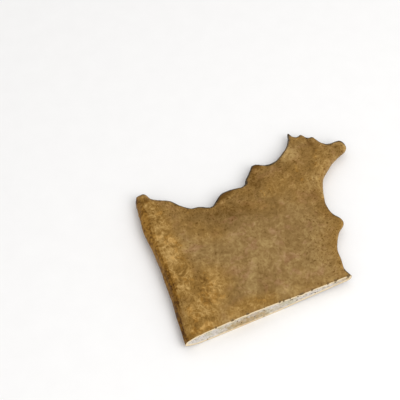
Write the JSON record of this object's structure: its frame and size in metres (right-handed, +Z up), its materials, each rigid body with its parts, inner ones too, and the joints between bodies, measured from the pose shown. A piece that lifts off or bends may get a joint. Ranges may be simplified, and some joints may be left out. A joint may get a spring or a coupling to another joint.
{
  "type": "antler dog chew",
  "caption": "Flat palm section of fallow deer antler for a dog to chew, with a thick rounded edge, a gnawed far edge, a blunt tine stub and one straight sawn face.",
  "frame": {"origin": "under the middle of the piece's box, on the surface that it lies on", "axes": "+X along the saw cut from the thick edge to the thin edge, +Y up the palm away from the cut, +Z up through its thickness"},
  "size_m": [0.1618, 0.1196, 0.0135],
  "materials": {
    "antler_bone": "weathered brown bone skin, mottled and slightly waxy, with a pale dry spongy core on the sawn face"
  },
  "bodies": {
    "root": {"antler_chew": "antler_bone"}
  },
  "joints": []
}
